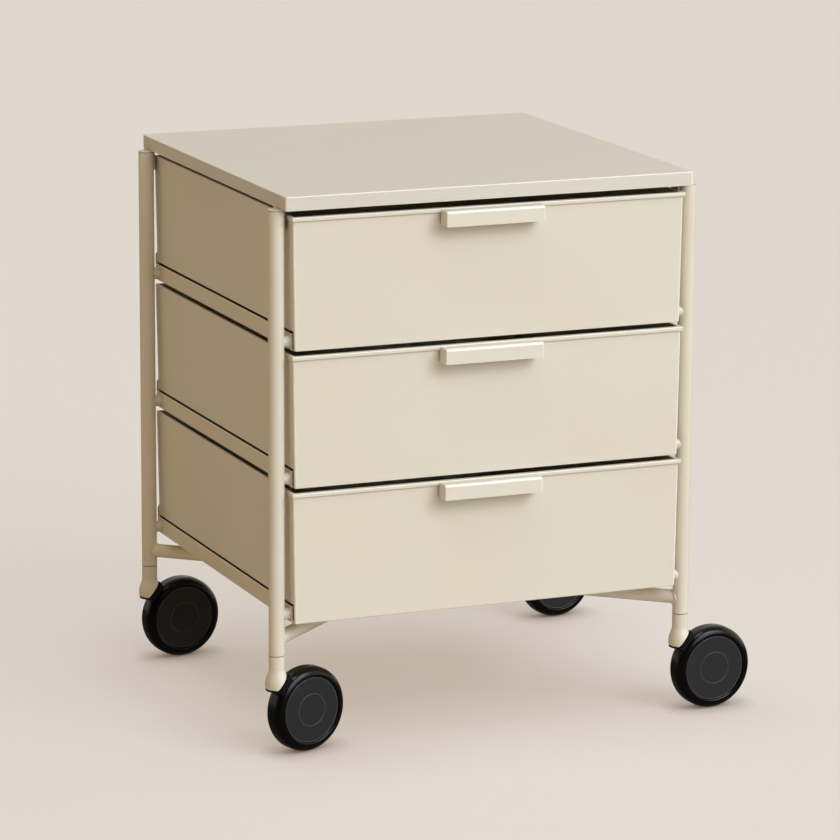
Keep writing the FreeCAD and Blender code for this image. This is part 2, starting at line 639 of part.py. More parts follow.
def make_tub(level, level_name):
    """A moulded tray whose sides step in above the rails."""
    name = level_name + "_drawer_tub"
    body = doc.addObject("PartDesign::Body", name + "_body")
    rim, bottom, ledge = rim_z(level), bottom_z(level), ledge_z(level)
    half = "(drawer_width / 2)"
    leaned = f"({half} - drawer_draft)"
    top_loop = rectangle(minus(half), FRONT_Y, half, REAR_Y)
    low_loop = rectangle(minus(leaned), FRONT_Y, leaned, f"{REAR_Y} - drawer_draft")
    upper = outline(body, "XY_Plane", name + "_rim_outline", rim, [top_loop])
    lower = outline(body, "XY_Plane", name + "_bottom_outline", bottom, [low_loop])
    loft(body, "AdditiveLoft", upper, lower)
    tall, low_z = value("drawer_height") * 0.9, value(bottom)
    round_edges(body, name + "_outer_edges", "drawer_edge_radius",
                lambda e: size_of(e)[2] > tall or level_at(e, low_z))

    far = f"({half} + 10)"
    steps = outline(body, "XY_Plane", name + "_steps", ledge, [
        rectangle(LOWER_SIDE_X, INNER_FRONT_Y, far, f"{REAR_Y} + 10"),
        rectangle(minus(far), INNER_FRONT_Y, minus(LOWER_SIDE_X), f"{REAR_Y} + 10"),
    ])
    extrude(body, "Pocket", steps, f"{STEP_HEIGHT} + 1")

    strip_half = f"({half} + rim_overhang)"
    strip = outline(body, "XY_Plane", name + "_strip", rim, [
        rectangle(minus(strip_half), f"{FRONT_Y} - rim_projection", strip_half, f"{FRONT_Y} + rim_return")])
    extrude(body, "Pad", strip, "rim_height", back=True)
    strip_y, rim_height = value(f"{FRONT_Y} - rim_projection"), value(rim)
    round_edges(body, name + "_strip_edges", "rim_radius",
                lambda e: abs(e.BoundBox.YMin - strip_y) < 0.01 and abs(e.BoundBox.YMax - strip_y) < 0.01)

    seat = outline(body, "XY_Plane", name + "_handle_seat", handle_top_z(level), [
        rectangle(HANDLE_LEFT, f"{FRONT_Y} - 2 * rim_projection", HANDLE_RIGHT, FRONT_Y)])
    extrude(body, "Pocket", seat, "rim_height")

    inner = f"({half} - drawer_wall)"
    floor_z = f"({bottom} + drawer_floor)"
    shelf_z = f"({ledge} + drawer_floor)"
    share = f"((drawer_height - {STEP_HEIGHT} - drawer_floor) / drawer_height)"
    inner_low = f"({inner} - drawer_draft * {share})"
    back = f"({REAR_Y} - drawer_wall)"
    mouth = outline(body, "XY_Plane", name + "_mouth", rim,
                    [rectangle(minus(inner), INNER_FRONT_Y, inner, back)])
    low_back = f"({back} - drawer_draft * {share})"
    shelf = outline(body, "XY_Plane", name + "_shelf", shelf_z,
                    [rectangle(minus(inner_low), INNER_FRONT_Y, inner_low, low_back)])
    loft(body, "SubtractiveLoft", mouth, shelf)
    well_x = f"({LOWER_SIDE_X} - drawer_wall)"
    well = outline(body, "XY_Plane", name + "_well", f"{shelf_z} + 1",
                   [rectangle(minus(well_x), INNER_FRONT_Y, well_x, f"{back} - drawer_draft")])
    extrude(body, "Pocket", well, f"{shelf_z} + 1 - {floor_z}")
    deep = value(floor_z)
    round_edges(body, name + "_floor_edges", "drawer_floor_radius", lambda e: level_at(e, deep))

    holes = circles(body, "XZ_Plane", name + "_screw_holes", minus(FRONT_Y),
                    "handle_screw_diameter / 2 + screw_play", handle_screw_spots(level))
    extrude(body, "Pocket", holes, "drawer_front_wall + 0.5")
    return keep(body, name)


def handle_screw_spots(level):
    z = f"({handle_top_z(level)} - handle_height / 2)"
    return [(f"{HANDLE_LEFT} + handle_boss_inset", z), (f"{HANDLE_RIGHT} - handle_boss_inset", z)]


def make_handle(level, level_name):
    """A hood open underneath, with a boss for a screw near each end."""
    name = level_name + "_drawer_handle"
    body = doc.addObject("PartDesign::Body", name + "_body")
    top = handle_top_z(level)
    low = f"({top} - handle_height)"
    nose = f"({FRONT_Y} - handle_projection)"
    side = outline(body, "XY_Plane", name + "_outline", top,
                   [rectangle(HANDLE_LEFT, nose, HANDLE_RIGHT, FRONT_Y)])
    extrude(body, "Pad", side, "handle_height", back=True)
    nose_y, top_z, low_z = value(nose), value(top), value(low)
    ends = value(HANDLE_LEFT), value(HANDLE_RIGHT)

    def on_nose(edge):
        return abs(edge.BoundBox.YMin - nose_y) < 0.01 and abs(edge.BoundBox.YMax - nose_y) < 0.01

    round_edges(body, name + "_top_edge", "handle_top_radius",
                lambda e: on_nose(e) and level_at(e, top_z))
    round_edges(body, name + "_side_edges", "handle_lip_radius",
                lambda e: on_nose(e) and not level_at(e, low_z) and size_of(e)[0] < 0.01
                and min(abs(e.BoundBox.XMin - x) for x in ends) < 0.01)
    room = outline(body, "XY_Plane", name + "_room", low,
                   [rectangle(f"{HANDLE_LEFT} + handle_wall", f"{nose} + handle_wall",
                              f"{HANDLE_RIGHT} - handle_wall", FRONT_Y)])
    extrude(body, "Pocket", room, "handle_height - handle_wall", back=True)
    slots = outline(body, "XY_Plane", name + "_slots", low,
                    [rectangle(f"{HANDLE_LEFT} - 1", f"{FRONT_Y} - handle_slot",
                               f"{HANDLE_RIGHT} + 1", f"{FRONT_Y} + 1")])
    extrude(body, "Pocket", slots, "handle_height - handle_wall", back=True)
    bosses = circles(body, "XZ_Plane", name + "_bosses", minus(FRONT_Y), "handle_boss_diameter / 2",
                     handle_screw_spots(level))
    extrude(body, "Pad", bosses, "handle_projection - handle_wall / 2")
    holes = circles(body, "XZ_Plane", name + "_boss_holes", minus(FRONT_Y), "handle_screw_diameter / 2",
                    handle_screw_spots(level))
    extrude(body, "Pocket", holes, "handle_screw_reach + 1", back=True)
    return keep(body, name)


def make_handle_screws(level, level_name):
    name = level_name + "_handle_screws"
    screws = []
    for i, (x, z) in enumerate(handle_screw_spots(level), 1):
        head = rod(f"{name}_head_{i}", "handle_screw_head / 2", (x, INNER_FRONT_Y, z),
                   "handle_screw_head_height", "y")
        shank = rod(f"{name}_shank_{i}", "handle_screw_diameter / 2",
                    (x, f"{FRONT_Y} - handle_screw_reach", z),
                    "handle_screw_reach + drawer_front_wall", "y")
        screws.append(join(f"{name}_screw_{i}", head, shank))
    return keep(group(name, screws), name)


def make_runners(level, level_name):
    name = level_name + "_drawer_runners"
    bars = []
    for side_name, side in SIDES:
        xs = [signed(side, f"{RAIL_WEB_X} - 2 * slide_gap"), signed(side, LOWER_SIDE_X)]
        if side > 0:
            xs.reverse()
        low = f"{rail_top_z(level)} - rail_height + rail_steel + slide_gap"
        high = f"{rail_top_z(level)} - rail_steel - slide_gap"
        bar = block(f"{name}_{side_name}_bar", (xs[0], f"{RUNNER_REAR_Y} - runner_length", low),
                    (xs[1], RUNNER_REAR_Y, high))
        bars.append(soften(f"{name}_{side_name}", bar, "runner_radius", upright))
    return keep(group(name, bars), name)


# Castors, each drawn with its swivel axis on Z and its wheel towards +X, then put under its post

def set_castor(thing, corner, side, end):
    turn(thing, (0, 0, 1), "yaw_" + corner)
    return place(thing, signed(side, POST_X), signed(end, POST_Y), 0)


def disc(name, radius, near, far):
    """A cylinder on the wheel's axle, between two distances from the wheel's middle."""
    return rod(name, radius, (TRAIL, near, WHEEL_RADIUS), f"({far}) - ({near})", "y")


def sector(name, radius, near, far, start_angle, sweep):
    """A slice of such a cylinder, over the wheel's front upper part."""
    made = doc.addObject("Part::Cylinder", name)
    bind(made, {"Radius": radius, "Height": f"({far}) - ({near})", "Angle": sweep})
    made.Placement.Rotation = FreeCAD.Rotation(FreeCAD.Vector(1, 0, 0), -90)
    tilted = doc.addObject("Part::Compound", name + "_tilted")
    tilted.Links = [made]
    turn(tilted, (0, 1, 0), f"180 + ({start_angle})")
    return place(tilted, TRAIL, near, WHEEL_RADIUS)


def ellipse_loft(name, rings):
    """A solid through level ellipses, each given by its height and its reach across and along the wheel."""
    drawn = []
    for i, (height, across, along) in enumerate(rings):
        ring = doc.addObject("Part::Ellipse", f"{name}_ring_{i}")
        bind(ring, {"MajorRadius": across, "MinorRadius": along})
        drawn.append(place(turn(ring, (0, 0, 1), 90), 0, 0, height))
    made = doc.addObject("Part::Loft", name)
    made.Sections = drawn
    made.Solid = True
    return made


def make_shoe(corner, side, end):
    """The cast shoe: a round neck that widens over the wheel and is cut to the wheel's curve."""
    name = "castor_shoe_" + corner

    def ring(part, widening):
        """A ring this part of the way up the flare, and this far between neck and full width."""
        across = f"({POST_RADIUS} + {widening} * (shoe_half_width - {POST_RADIUS}))"
        return f"{SHOE_BOTTOM} + {part} * shoe_flare", across, f"{across} - {widening} * shoe_slimness"

    flare = ellipse_loft(name + "_flare", (
        ring(1, 0), ring(0.74, 0.26), ring(0.47, 0.78), ring(0.22, 1), ring(0, 1),
    ))
    base = value(SHOE_BOTTOM)
    flare = soften(name + "_foot", flare, "shoe_bottom_radius", lambda e: level_at(e, base))
    neck_z = f"({SHOE_BOTTOM} + shoe_flare)"
    neck = rod(name + "_neck", POST_RADIUS, (0, 0, neck_z), f"{SHOE_TOP} - {neck_z}")
    wheel = disc(name + "_wheel_cut", SHOE_INSIDE, "-2 * wheel_width", "2 * wheel_width")
    bore = rod(name + "_bore", "stem_diameter / 2 + running_gap", (0, 0, STEM_HEAD_TOP), SHOE_TOP)
    room = rod(name + "_head_room", "stem_head / 2 + side_play", (0, 0, 0),
               f"{STEM_HEAD_TOP} + side_play")
    shape = cut(name, join(name + "_solid", flare, neck), wheel, bore, room)
    return keep(set_castor(shape, corner, side, end), name)


def make_guard(corner, side, end):
    """The black guard in the shoe, over the tread, and the arm behind the wheel that holds the axle."""
    name = "castor_guard_" + corner
    near = minus("(shoe_half_width + guard_overhang)")
    far = "(shoe_half_width - guard_flange_inset)"
    sweep = "guard_high_angle - guard_low_angle"
    plate = sector(name + "_plate", f"{GUARD_OUTSIDE} - guard_chamfer", near, far,
                   "guard_low_angle", sweep)
    back_plate = sector(name + "_back_plate", GUARD_OUTSIDE, f"{near} + guard_chamfer", far,
                        "guard_low_angle", sweep)
    shoulder = sector(name + "_shoulder", GUARD_OUTSIDE, "0", ARM_FAR_Y,
                      "arm_low_angle", "guard_high_angle - arm_low_angle")
    rib = sector(name + "_rib", SHOE_INSIDE, minus("guard_rib_half_width"), "guard_rib_half_width",
                 "guard_low_angle", "guard_rib_high_angle - guard_low_angle")
    across = "(shoe_half_width - guard_flange_inset)"
    flange = ellipse_loft(name + "_flange", (
        (f"{SHOE_BOTTOM} - guard_flange", across, f"{across} - shoe_slimness"),
        (SHOE_BOTTOM, across, f"{across} - shoe_slimness"),
    ))
    liner = cut(name + "_liner", join(name + "_shell", plate, back_plate, shoulder, rib, flange),
                disc(name + "_inside", GUARD_INSIDE, "-2 * wheel_width", "2 * wheel_width"))
    boss = disc(name + "_boss", "arm_boss_diameter / 2", ARM_NEAR_Y, ARM_FAR_Y)
    body = doc.addObject("PartDesign::Body", name + "_arm_body")
    middle = "(arm_low_angle + guard_high_angle) / 2"
    half = "arm_boss_diameter / 2"

    def polar(radius, angle):
        return (f"{TRAIL} - {radius} * cos(({angle}) * 1 deg)",
                f"{WHEEL_RADIUS} + {radius} * sin(({angle}) * 1 deg)")

    arm = outline(body, "XZ_Plane", name + "_arm", minus(ARM_NEAR_Y), [[
        polar(half, f"{middle} - 90"), polar(f"({GUARD_OUTSIDE} - 0.2)", "arm_low_angle"),
        polar(f"({GUARD_OUTSIDE} - 0.2)", "guard_high_angle"), polar(half, f"{middle} + 90"),
    ]])
    extrude(body, "Pad", arm, "arm_thickness", back=True)
    hole = disc(name + "_hole", "axle_diameter / 2", "0", "2 * wheel_width")
    shape = cut(name, join(name + "_solid", liner, boss, body), hole)
    return keep(set_castor(shape, corner, side, end), name)


def make_axle(corner, side, end):
    name = "castor_axle_" + corner
    head_y = minus("(hub_boss_near + side_play)")
    shape = join(
        name,
        disc(name + "_pin", "axle_diameter / 2", head_y, ARM_FAR_Y),
        disc(name + "_head", "axle_head / 2", f"{head_y} - axle_head_height", head_y),
        disc(name + "_rivet", "rivet_diameter / 2", ARM_FAR_Y, f"{ARM_FAR_Y} + rivet_height"),
    )
    return keep(set_castor(shape, corner, side, end), name)


def make_hub(corner, side, end):
    name = "castor_hub_" + corner
    near, far = minus("hub_near_face"), "hub_far_face"
    rim = cut(name + "_rim", disc(name + "_rim_outside", "tyre_seat_radius", near, far),
              disc(name + "_rim_inside", "tyre_seat_radius - rim_wall", near, far))
    web = disc(name + "_web", "tyre_seat_radius - rim_wall / 2", "-web_thickness / 2", "web_thickness / 2")
    boss = disc(name + "_boss", "hub_boss_diameter / 2", minus("hub_boss_near"), f"{ARM_NEAR_Y} - side_play")
    bore = disc(name + "_bore", "axle_diameter / 2 + running_gap", "-wheel_width", "wheel_width")
    shape = cut(name, join(name + "_solid", rim, web, boss), bore)
    return keep(set_castor(shape, corner, side, end), name)


def make_tyre(corner, side, end):
    name = "castor_tyre_" + corner
    solid = disc(name + "_solid", WHEEL_RADIUS, "-wheel_width / 2", "wheel_width / 2")
    reach = value(WHEEL_RADIUS)
    seat = value("tyre_seat_radius")
    wall = f"({WHEEL_RADIUS} - tyre_seat_radius)"
    tread = soften(name + "_tread", solid, f"min(tread_radius; {wall} * 0.9)",
                   lambda e: size_of(e)[0] > 1.9 * reach and size_of(e)[1] < 0.01)
    ring = cut(name + "_ring", tread, disc(name + "_seat", "tyre_seat_radius", "-wheel_width", "wheel_width"))
    shape = soften(name, ring, f"min(tyre_lip_radius; {wall} * 0.4)",
                   lambda e: abs(size_of(e)[0] - 2 * seat) < 0.1 and size_of(e)[1] < 0.01)
    return keep(set_castor(shape, corner, side, end), name)


def make_cover(corner, side, end):
    """The disc over the hub, with a ring groove round its middle and a skirt inside the hub's rim."""
    name = "castor_cover_" + corner
    near = "(-hub_near_face - cover_plate)"
    plate = disc(name + "_plate", "cover_radius", near, minus("hub_near_face"))
    near_y = value(near)
    plate = soften(name + "_edge", plate, "cover_edge_radius",
                   lambda e: abs(e.BoundBox.YMin - near_y) < 0.01 and abs(e.BoundBox.YMax - near_y) < 0.01)
    inside = "(tyre_seat_radius - rim_wall)"
    skirt = cut(name + "_skirt",
                disc(name + "_skirt_outside", inside, minus("hub_near_face"), "cover_skirt - hub_near_face"),
                disc(name + "_skirt_inside", f"{inside} - cover_plate", minus("hub_near_face"),
                     "cover_skirt - hub_near_face"))
    groove = cut(name + "_groove",
                 disc(name + "_groove_outside", "cover_groove_radius + cover_groove_width / 2",
                      f"{near} - 1", f"{near} + cover_groove_depth"),
                 disc(name + "_groove_inside", "cover_groove_radius - cover_groove_width / 2",
                      f"{near} - 2", f"{near} + cover_groove_depth + 1"))
    shape = cut(name, join(name + "_solid", plate, skirt), groove)
    return keep(set_castor(shape, corner, side, end), name)


def make_sockets_and_stems():
    sockets, stems = [], []
    for corner, side, end in CORNERS:
        x, y = signed(side, POST_X), signed(end, POST_Y)
        plug = rod("socket_plug_" + corner, POST_BORE, (x, y, POST_FOOT), "socket_length")
        thread = rod("socket_thread_" + corner, "stem_thread / 2", (x, y, POST_FOOT),
                     "socket_length")
        sockets.append(cut("socket_" + corner, plug, thread))
        collar_z = f"({POST_FOOT} - stem_collar_height)"
        stems.append(join(
            "stem_" + corner,
            rod("stem_thread_" + corner, "stem_thread / 2", (x, y, POST_FOOT), "stem_thread_length"),
            rod("stem_collar_" + corner, "stem_collar / 2", (x, y, collar_z), "stem_collar_height"),
            rod("stem_shoulder_" + corner, "stem_diameter / 2", (x, y, STEM_HEAD_TOP),
                f"{collar_z} - {STEM_HEAD_TOP}"),
            rod("stem_head_" + corner, "stem_head / 2", (x, y, STEM_HEAD_BOTTOM), "stem_head_height"),
        ))
    keep(group("castor_sockets", sockets), "castor_sockets")
    keep(group("castor_stems", stems), "castor_stems")


# The whole object

for post in CORNERS:
    make_post(*post)
make_post_caps()
make_lid()
make_lid_brackets()
make_lid_screws()
make_brace()
for number, level_word in enumerate(LEVELS):
    for side_word, hand in SIDES:
        make_rail(number, level_word, hand, side_word)
make_spacers_and_screws()
make_front_pads()
for number, level_word in enumerate(LEVELS):
    make_tub(number, level_word)
    make_handle(number, level_word)
    make_handle_screws(number, level_word)
    make_runners(number, level_word)
make_sockets_and_stems()
for castor in CORNERS:
    make_shoe(*castor)
    make_guard(*castor)
    make_axle(*castor)
    make_hub(*castor)
    make_tyre(*castor)
    make_cover(*castor)
doc.recompute()

faults = [thing.Name for thing in doc.Objects if {"Invalid", "Error"} & set(thing.State)]
faults += [piece.Label for piece in pieces if piece.Shape.isNull() or not piece.Shape.isValid()]
if faults:
    raise RuntimeError("not built: " + ", ".join(faults))

# The origin goes under the middle of the whole object's box
box = FreeCAD.BoundBox()
for piece in pieces:
    box.add(piece.Shape.optimalBoundingBox(False, False))
middle = FreeCAD.Vector(box.Center.x, box.Center.y, 0)

os.makedirs("parts", exist_ok=True)
for piece in pieces:
    shape = piece.Shape.copy()
    shape.translate(-middle)
    shape.exportStep(f"parts/{piece.Label}.step")
print(len(pieces), "pieces, frame's middle at", round(-middle.x, 4), round(-middle.y, 4))
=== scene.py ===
import json
import math

import bpy
import bmesh
from mathutils import Matrix, Vector

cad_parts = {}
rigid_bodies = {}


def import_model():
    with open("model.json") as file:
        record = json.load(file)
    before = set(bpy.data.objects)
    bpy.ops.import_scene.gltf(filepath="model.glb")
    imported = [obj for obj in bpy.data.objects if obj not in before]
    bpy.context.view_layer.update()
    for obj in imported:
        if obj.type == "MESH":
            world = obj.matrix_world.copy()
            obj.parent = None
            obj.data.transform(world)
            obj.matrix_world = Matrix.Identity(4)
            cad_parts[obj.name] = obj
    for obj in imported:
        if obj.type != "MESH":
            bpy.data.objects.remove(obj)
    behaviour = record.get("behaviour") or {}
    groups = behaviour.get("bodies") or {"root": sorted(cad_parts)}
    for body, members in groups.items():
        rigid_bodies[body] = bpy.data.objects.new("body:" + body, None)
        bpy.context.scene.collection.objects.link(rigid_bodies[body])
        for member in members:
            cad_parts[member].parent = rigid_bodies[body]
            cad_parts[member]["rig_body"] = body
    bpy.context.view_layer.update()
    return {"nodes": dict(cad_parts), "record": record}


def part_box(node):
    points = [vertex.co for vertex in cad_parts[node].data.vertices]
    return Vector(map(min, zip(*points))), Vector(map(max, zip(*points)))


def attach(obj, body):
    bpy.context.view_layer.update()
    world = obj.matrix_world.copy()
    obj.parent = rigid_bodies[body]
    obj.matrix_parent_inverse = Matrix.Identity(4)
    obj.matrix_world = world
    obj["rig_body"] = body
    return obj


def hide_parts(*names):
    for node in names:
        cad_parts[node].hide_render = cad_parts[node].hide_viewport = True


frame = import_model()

nodes = frame["nodes"]
slot_of = {entry["node"]: entry["material_slot"] for entry in frame["record"]["subparts"]}
lid_low, lid_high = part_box("lid")
middle = Vector(((lid_low.x + lid_high.x) / 2, (lid_low.y + lid_high.y) / 2, 0))

MM = 0.001
WHITE = (1, 1, 1, 1)
LEVELS = ("top", "middle", "bottom")
SIDES = {"left": -1, "right": 1}
CORNERS = {"front_left": (-1, -1), "front_right": (1, -1), "rear_left": (-1, 1), "rear_right": (1, 1)}


def add_object(name, data):
    """A new object in the scene that holds the data given."""
    made = bpy.data.objects.new(name, data)
    bpy.context.scene.collection.objects.link(made)
    return made


# Shader nodes

def srgb(red, green, blue):
    """A colour written as the eye reads it, 0 to 255, in linear values."""
    def linear(v):
        v /= 255
        return v / 12.92 if v <= 0.04045 else ((v + 0.055) / 1.055) ** 2.4
    return (linear(red), linear(green), linear(blue), 1)


def feed(entry, value):
    """Gives a node's input a fixed value, or links it to another node's output."""
    if isinstance(value, bpy.types.NodeSocket):
        entry.id_data.links.new(value, entry)
    else:
        entry.default_value = value


def maths(tree, operation, *values):
    node = tree.nodes.new("ShaderNodeMath")
    node.operation = operation
    for entry, value in zip(node.inputs, values):
        feed(entry, value)
    return node.outputs["Value"]


def blend(tree, factor, first, second, way="MIX"):
    """Goes from the first colour to the second as the factor goes from 0 to 1."""
    node = tree.nodes.new("ShaderNodeMix")
    node.data_type = "RGBA"
    node.blend_type = way
    for name, value in (("Factor", factor), ("A", first), ("B", second)):
        feed(node.inputs[name], value)
    return node.outputs["Result"]


def spread(tree, value, start, end, least=0.0, smooth=False):
    """Stretches a value, so that start gives the least and end gives 1."""
    node = tree.nodes.new("ShaderNodeMapRange")
    if smooth:
        node.interpolation_type = "SMOOTHSTEP"
    for name, given in (("Value", value), ("From Min", start), ("From Max", end), ("To Min", least)):
        feed(node.inputs[name], given)
    return node.outputs["Result"]


def noise(tree, scale, detail):
    """Noise that sits still on the object."""
    place = tree.nodes.new("ShaderNodeTexCoord")
    node = tree.nodes.new("ShaderNodeTexNoise")
    for name, given in (("Vector", place.outputs["Object"]), ("Scale", scale), ("Detail", detail)):
        feed(node.inputs[name], given)
    return node.outputs["Fac"]


def openness(tree, reach, samples):
    """1 where nothing is within reach, less where something is near."""
    node = tree.nodes.new("ShaderNodeAmbientOcclusion")
    node.samples = samples
    node.inputs["Distance"].default_value = reach
    return node.outputs["AO"]


def new_group(name, inputs, outputs):
    """An empty node group with its sockets, each given as a name and a kind."""
    tree = bpy.data.node_groups.new(name, "ShaderNodeTree")
    for way, sockets in (("INPUT", inputs), ("OUTPUT", outputs)):
        for label, kind in sockets.items():
            tree.interface.new_socket(name=label, in_out=way, socket_type="NodeSocket" + kind)
    return tree, tree.nodes.new("NodeGroupInput").outputs, tree.nodes.new("NodeGroupOutput").inputs


def use_group(tree, group, values):
    """Puts a node group into a material, feeds its inputs and gives back its outputs."""
    node = tree.nodes.new("ShaderNodeGroup")
    node.node_tree = group
    for name, value in values.items():
        feed(node.inputs[name], value)
    return node.outputs


# Materials

DRIFT_RANGE = (0.35, 0.65)        # the part of the noise that shows as drift of tone
# Faces marked in this attribute take the painted edge highlight
EDGE_ATTRIBUTE = "edge"
EDGE_PATCHES = 60                 # scale of the patches in the painted edge highlight and in the edge polish
EDGE_SHEEN_AND_WEAR_RANGE = (0.3, 0.6)
EDGE_SHEEN_AND_WEAR_LEAST = 0.7
# Painted shade in crevices: the colour darkens where other surfaces are close
CREVICE_SHADE_REACH = 0.006
CREVICE_SHADE_RANGE = (0.42, 0.08)      # how shut in a spot is where the painted crevice shade starts, and where it is full
CREVICE_SHADE_TONE = (0.16, 0.115, 0.08, 1)
CREVICE_SHADE_SAMPLES = 4
GRAIN_DEPTH = 0.0001


def make_skin_group():
    """A smooth finish's small unevenness: drift of tone, drift of gloss, and a fine grain."""
    tree, given, result = new_group(
        "satin_skin",
        {"Colour": "Color", "Shade": "Color", "Roughness": "Float", "Gloss Drift": "Float",
         "Drift Scale": "Float", "Grain Scale": "Float"},
        {"Colour": "Color", "Roughness": "Float", "Height": "Float"})
    drift = noise(tree, given["Drift Scale"], 3)
    tone = blend(tree, spread(tree, drift, *DRIFT_RANGE), given["Shade"], given["Colour"])
    centred = maths(tree, "SUBTRACT", drift, 0.5)
    gloss = maths(tree, "MULTIPLY_ADD", centred, given["Gloss Drift"], given["Roughness"])
    feed(result["Colour"], tone)
    feed(result["Roughness"], gloss)
    feed(result["Height"], noise(tree, given["Grain Scale"], 2))
    return tree


def make_edge_group():
    """Rounded edges are painted lighter, as a highlight, and are smoother, as handling leaves them; crevices
    are painted darker, as shade.
    """
    tree, given, result = new_group(
        "edge_highlight_wear_crevice_shade",
        {"Colour": "Color", "Edge Colour": "Color", "Roughness": "Float", "Polish": "Float", "Mask": "Float"},
        {"Colour": "Color", "Roughness": "Float"})
    patchy_sheen_and_wear = spread(tree, noise(tree, EDGE_PATCHES, 2), *EDGE_SHEEN_AND_WEAR_RANGE, least=EDGE_SHEEN_AND_WEAR_LEAST)
    edge_sheen_and_wear = maths(tree, "MULTIPLY", given["Mask"], patchy_sheen_and_wear)
    # painted highlight: rounded edges take the lighter edge colour, in patches
    tone = blend(tree, edge_sheen_and_wear, given["Colour"], given["Edge Colour"])
    # painted shade: darker where other surfaces are within reach
    crevice_shade = spread(tree, openness(tree, CREVICE_SHADE_REACH, CREVICE_SHADE_SAMPLES), *CREVICE_SHADE_RANGE)
    polished = maths(tree, "MULTIPLY", edge_sheen_and_wear, given["Polish"])
    feed(result["Colour"], blend(tree, crevice_shade, tone, CREVICE_SHADE_TONE, "MULTIPLY"))
    feed(result["Roughness"], maths(tree, "SUBTRACT", given["Roughness"], polished))
    return tree


skin_group = make_skin_group()
edge_group = make_edge_group()


def make_material(name, colour, shade, roughness, gloss_drift=0.08, drift_scale=5.0, grain_scale=900.0,
                  bump=0.05, metallic=0.0, specular=0.5, tint=WHITE, edge=None, polish=0.1):
    """A finish that drifts at random between a colour and a slightly darker tone of it; edge is the colour
    painted on its rounded edges as a highlight.
    """
    material = bpy.data.materials.new(name)
    material.use_nodes = True
    tree = material.node_tree
    skin = use_group(tree, skin_group, {
        "Colour": colour, "Shade": shade, "Roughness": roughness, "Gloss Drift": gloss_drift,
        "Drift Scale": drift_scale, "Grain Scale": grain_scale})
    mask = tree.nodes.new("ShaderNodeAttribute")
    mask.attribute_name = EDGE_ATTRIBUTE
    edges = use_group(tree, edge_group, {
        "Colour": skin["Colour"], "Edge Colour": edge or colour, "Roughness": skin["Roughness"],
        "Polish": polish, "Mask": mask.outputs["Fac"]})
    relief = tree.nodes.new("ShaderNodeBump")
    relief.inputs["Strength"].default_value = bump
    relief.inputs["Distance"].default_value = GRAIN_DEPTH
    feed(relief.inputs["Height"], skin["Height"])
    shader = tree.nodes["Principled BSDF"]
    shader.inputs["Metallic"].default_value = metallic
    shader.inputs["Specular IOR Level"].default_value = specular
    shader.inputs["Specular Tint"].default_value = tint
    feed(shader.inputs["Base Color"], edges["Colour"])
    feed(shader.inputs["Roughness"], edges["Roughness"])
    feed(shader.inputs["Normal"], relief.outputs["Normal"])
    return material


NEUTRAL_GLOSS = (1.0, 0.95, 0.89, 1)     # takes the key light's blue out of what the blacks mirror

# Each edge colour is a painted highlight for rounded edges, lighter than its finish
FINISHES = {
    "frame_paint": make_material(
        "frame_paint", srgb(223, 214, 196), srgb(220, 211, 192), 0.38, grain_scale=1400,
        edge=srgb(236, 229, 214)),
    "lid_board": make_material(
        "lid_board", srgb(216, 211, 200), srgb(214, 209, 197), 0.44, grain_scale=2200,
        edge=srgb(240, 235, 222)),
    "drawer_plastic": make_material(
        "drawer_plastic", srgb(223, 216, 201), srgb(221, 213, 198), 0.42, grain_scale=2600, bump=0.04,
        edge=srgb(239, 233, 220)),
    "handle_plastic": make_material(
        "handle_plastic", srgb(226, 219, 204), srgb(224, 217, 201), 0.38, grain_scale=2600, bump=0.04,
        edge=srgb(244, 239, 228)),
    "slide_nylon": make_material(
        "slide_nylon", srgb(40, 38, 36), srgb(34, 32, 30), 0.55, bump=0.12, specular=0.3),
    "zinc_screws": make_material(
        "zinc_screws", srgb(190, 190, 186), srgb(170, 170, 168), 0.32, gloss_drift=0.2, drift_scale=120,
        metallic=1.0),
    "plain_steel": make_material(
        "plain_steel", srgb(175, 175, 172), srgb(150, 150, 148), 0.3, gloss_drift=0.2, drift_scale=90,
        metallic=1.0),
    "tyre_rubber": make_material(
        "tyre_rubber", srgb(7, 7, 7), srgb(5, 5, 5), 0.24, gloss_drift=0.1, drift_scale=30, grain_scale=1200,
        bump=0.06, specular=0.3, tint=NEUTRAL_GLOSS, edge=srgb(30, 30, 30), polish=0.06),
    "black_nylon": make_material(
        "black_nylon", srgb(13, 13, 13), srgb(10, 10, 10), 0.4, bump=0.1, specular=0.36,
        tint=NEUTRAL_GLOSS, edge=srgb(40, 40, 40), polish=0.1),
    "cover_nylon": make_material(
        "cover_nylon", srgb(41, 41, 41), srgb(38, 38, 38), 0.46, grain_scale=3000, bump=0.15, specular=0.3,
        edge=srgb(88, 88, 88), polish=0.22),
}

for name, node in nodes.items():
    node.data.materials.clear()
    node.data.materials.append(FINISHES[slot_of[name]])


# Tools for pieces

BEVEL_SEGMENTS = 2
SHARP_ANGLE = 30
SLANT = 0.985        # a face's normal is off every axis when no part of it is above this


def only(*pieces):
    """Nothing is selected but these pieces, and the first is active."""
    bpy.ops.object.select_all(action="DESELECT")
    for piece in pieces:
        piece.select_set(True)
    bpy.context.view_layer.objects.active = pieces[0]


def apply_modifiers(piece):
    only(piece)
    for modifier in list(piece.modifiers):
        bpy.ops.object.modifier_apply(modifier=modifier.name)


def broken_edges(piece, width):
    """Rounds every sharp edge, as paint, moulding or a deburring wheel leaves it."""
    bevel = piece.modifiers.new("broken_edges", "BEVEL")
    bevel.limit_method = "ANGLE"
    bevel.angle_limit = math.radians(SHARP_ANGLE)
    bevel.width = width
    bevel.segments = BEVEL_SEGMENTS
    bevel.use_clamp_overlap = True
    bevel.material = 1
    apply_modifiers(piece)


